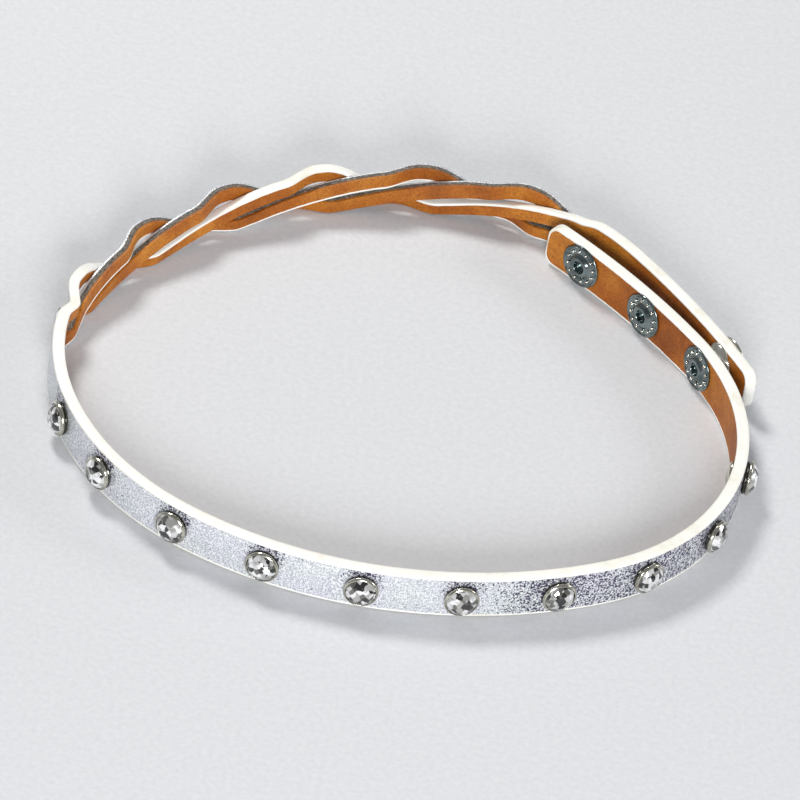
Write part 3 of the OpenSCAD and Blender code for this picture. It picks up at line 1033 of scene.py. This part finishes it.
def bend_with(piece, material, node):
    """Dresses a tab's layer, bakes its transform into its points and hides its CAD node."""
    dress(piece, material)
    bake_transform(piece)
    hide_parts(node)


LAYERS = (("face", FACE_N, SILVER, "silver_face", CROWN),
          ("core", CORE_N, CORE, "fibre_core", 0.0),
          ("lining", LINING_N, TAN, "tan_lining", CROWN))


def build_band():
    for word, n_range, material, slot_name, crown in LAYERS:
        piece = layer(f"band_{word}_strip", INNER_FLEX_S, BRAID_START_S, n_range, crown=crown)
        stand_for(piece, "band", material, slot_name, f"band_{word}")
    paths = [edge_path(INNER_FLEX_S, BRAID_START_S, side) for side in (1, -1)]
    stand_for(painted("band_painted_edges", paths), "band", PAINT, "edge_paint", "band_edge_coat")


def build_tab(body, root_s, tip_s):
    for word, n_range, material, slot_name, crown in LAYERS:
        piece = layer(f"{body}_{word}_strip", root_s, tip_s, n_range, tip=True, crown=crown)
        bend_with(piece, material, f"{body}_{word}")
    rim = painted(f"{body}_painted_rim", [tab_path(root_s, tip_s)])
    bend_with(rim, PAINT, f"{body}_edge_coat")


def build_braid():
    edges = {UPPER: ("upper", 0.0, UNDER_PAINT), LOWER: ("lower", UNDER_PAINT, 0.0),
             MIDDLE: ("middle", 0.0, 0.0)}
    for k, (word, low, high) in edges.items():
        for part, n_range, material, slot_name, _ in LAYERS:
            fuzz = FUZZ if part == "core" else 0.0
            piece = strand(f"{word}_strand_{part}_strip", k, n_range, low, high, fuzz)
            stand_for(piece, "band", material, slot_name, f"{word}_strand_{part}")
    for k, side, word in ((UPPER, 1, "upper"), (LOWER, -1, "lower")):
        piece = strand_paint(f"{word}_strand_painted_edge", k, side)
        stand_for(piece, "band", PAINT, "edge_paint", f"{word}_strand_coat")


def keep_cad(node, material):
    """A CAD node whose shape is right keeps it and gets a finished material."""
    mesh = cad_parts[node].data
    mesh.materials.clear()
    mesh.materials.append(material)


def build_rivets():
    stand_for(bezel_cups(), "band", BEZEL_NICKEL, "nickel", "bezel_cups")
    stand_for(crystals(), "band", CRYSTAL, "crystal", "crystals")
    stand_for(rivet_caps(), "band", NICKEL, "nickel", "rivet_caps")
    keep_cad("rivet_posts", NICKEL)


def build_snap():
    stand_for(eyelets(), "inner_tab", DARK_NICKEL, "dark_nickel", "snap_eyelets")
    # Painted highlight: the beads share the eyelets' dark metal but are dressed in bright nickel
    beads_painted_bright = beads()
    dress(beads_painted_bright, NICKEL)
    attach(beads_painted_bright, "inner_tab")
    stand_for(studs(), "inner_tab", NICKEL, "nickel", "snap_studs")
    stand_for(socket(), "outer_tab", NICKEL, "nickel", "snap_socket")
    stand_for(snap_cap(), "outer_tab", NICKEL, "nickel", "snap_cap")
    keep_cad("socket_spring", NICKEL)


# ---- Floor, light and camera ----

FLOOR_HALF, FLOOR_GAP = 3.0, 0.0002
STUDIO_LIGHTS = (
    # name, place, diameter, watts, colour
    ("key", (-0.42, 0.52, 0.80), 0.28, 7.0, (1.0, 0.985, 0.95)),
    ("front", (0.10, -1.05, 0.42), 0.35, 10.5, (0.99, 0.99, 1.0)),
    ("rim", (0.85, 0.25, 0.40), 0.3, 2.5, (1, 1, 1)),
)
SKY_COLOUR, SKY_STRENGTH = (0.86, 0.87, 0.90, 1), 0.30


def floor_material():
    m = Nodes("pale_floor")
    fibre = m.noise(m.coords("Object"), 700, 3.0)
    colour = m.ramp(fibre, "Fac", [(0.3, (0.62, 0.63, 0.65)), (0.7, (0.68, 0.69, 0.71))])
    m.set(Roughness=0.85)
    return m.finish(colour, None, m.bump(fibre, "Fac", 0.0001, 0.2))


def build_floor():
    corners = [(x * FLOOR_HALF, y * FLOOR_HALF, 0) for x, y in ((-1, -1), (1, -1), (1, 1), (-1, 1))]
    floor = object_from("floor", corners, [(0, 1, 2, 3)])
    floor.location.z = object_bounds()[0].z - FLOOR_GAP
    floor.data.materials.append(floor_material())


def area_light(name, place, size, power, colour):
    """A round light aimed at the origin."""
    data = bpy.data.lights.new(name, "AREA")
    data.shape, data.size, data.energy, data.color = "DISK", size, power, colour
    light = bpy.data.objects.new(name, data)
    light.location = place
    light.rotation_mode = "QUATERNION"
    light.rotation_quaternion = (-Vector(place)).to_track_quat("-Z", "Y")
    bpy.context.scene.collection.objects.link(light)


def build_lights():
    for light in STUDIO_LIGHTS:
        area_light(*light)
    world = bpy.data.worlds.new("studio")
    bpy.context.scene.world = world
    world.use_nodes = True
    background = world.node_tree.nodes["Background"]
    background.inputs["Color"].default_value = SKY_COLOUR
    background.inputs["Strength"].default_value = SKY_STRENGTH


CAMERA_TILT = math.radians(39.5)
CAMERA_ROLL = math.radians(11.3)
CAMERA_DISTANCE = 3.0
CAMERA_TARGET = (-0.0017, 0.0051, 0.0)
VIEW_WIDTH = 0.2
SENSOR = 36.0
CLIP_START, CLIP_END = 0.1, 20.0
DROP_IN_VIEW = 0.0025


def build_camera():
    """A long lens from far off, so the view is nearly parallel."""
    back = Vector((0, -math.cos(CAMERA_TILT), math.sin(CAMERA_TILT)))
    level_up = Vector((0, math.sin(CAMERA_TILT), math.cos(CAMERA_TILT)))
    right = Vector((1, 0, 0)) * math.cos(CAMERA_ROLL) + level_up * math.sin(CAMERA_ROLL)
    up = level_up * math.cos(CAMERA_ROLL) - Vector((1, 0, 0)) * math.sin(CAMERA_ROLL)
    data = bpy.data.cameras.new("camera")
    data.sensor_width = SENSOR
    data.lens = SENSOR * CAMERA_DISTANCE / VIEW_WIDTH
    data.clip_start, data.clip_end = CLIP_START, CLIP_END
    camera = bpy.data.objects.new("camera", data)
    place = Vector(CAMERA_TARGET) + back * CAMERA_DISTANCE - up * DROP_IN_VIEW
    turn = Matrix((right, up, back)).transposed().to_4x4()
    camera.matrix_world = Matrix.Translation(place) @ turn
    bpy.context.scene.collection.objects.link(camera)
    bpy.context.scene.camera = camera


def build_view():
    """Plain colours, so that the leather and the paint keep their own."""
    bpy.context.scene.view_settings.view_transform = "Standard"


build_band()
build_tab("inner_tab", INNER_FLEX_S, 0)
build_tab("outer_tab", BRAID_END_S, OUTER_END_S)
build_braid()
build_rivets()
build_snap()
build_floor()
build_lights()
build_camera()
build_view()
